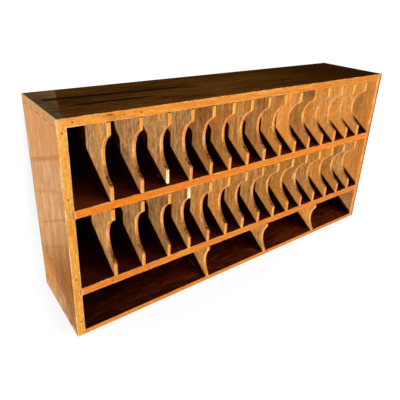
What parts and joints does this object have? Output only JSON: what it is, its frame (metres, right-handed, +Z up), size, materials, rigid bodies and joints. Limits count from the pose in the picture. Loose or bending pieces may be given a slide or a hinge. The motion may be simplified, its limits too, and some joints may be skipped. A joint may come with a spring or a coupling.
{
  "type": "pigeonhole mail sorter",
  "caption": "Open-fronted wooden desktop sorter: two rows of narrow upright pigeonholes with finger scoops over a low row of wide bays.",
  "frame": {"origin": "on the ground under the middle of the case", "axes": "+X along the width to the right seen from the front, the open front faces -Y, +Z up"},
  "size_m": [1.219, 0.267, 0.606],
  "materials": {
    "case_wood": "old varnished pine, oiled front edges, nearly black on top",
    "divider_wood": "weathered thin board with an open vertical grain",
    "panel_wood": "dark stained sheet",
    "nail_steel": "dull, darkened with age"
  },
  "bodies": {
    "root": {"left_side": "case_wood", "right_side": "case_wood", "top_board": "case_wood", "bottom_board": "case_wood", "upper_shelf": "case_wood", "lower_shelf": "case_wood", "upper_divider_01": "divider_wood", "upper_divider_02": "divider_wood", "upper_divider_03": "divider_wood", "upper_divider_04": "divider_wood", "upper_divider_05": "divider_wood", "upper_divider_06": "divider_wood", "upper_divider_07": "divider_wood", "upper_divider_08": "divider_wood", "upper_divider_09": "divider_wood", "upper_divider_10": "divider_wood", "upper_divider_11": "divider_wood", "upper_divider_12": "divider_wood", "upper_divider_13": "divider_wood", "upper_divider_14": "divider_wood", "upper_divider_15": "divider_wood", "middle_divider_01": "divider_wood", "middle_divider_02": "divider_wood", "middle_divider_03": "divider_wood", "middle_divider_04": "divider_wood", "middle_divider_05": "divider_wood", "middle_divider_06": "divider_wood", "middle_divider_07": "divider_wood", "middle_divider_08": "divider_wood", "middle_divider_09": "divider_wood", "middle_divider_10": "divider_wood", "middle_divider_11": "divider_wood", "middle_divider_12": "divider_wood", "middle_divider_13": "divider_wood", "middle_divider_14": "divider_wood", "middle_divider_15": "divider_wood", "lower_divider_1": "divider_wood", "lower_divider_2": "divider_wood", "lower_divider_3": "divider_wood", "back_panel": "panel_wood", "front_edge_nails": "nail_steel", "back_panel_nails": "nail_steel"}
  },
  "joints": []
}
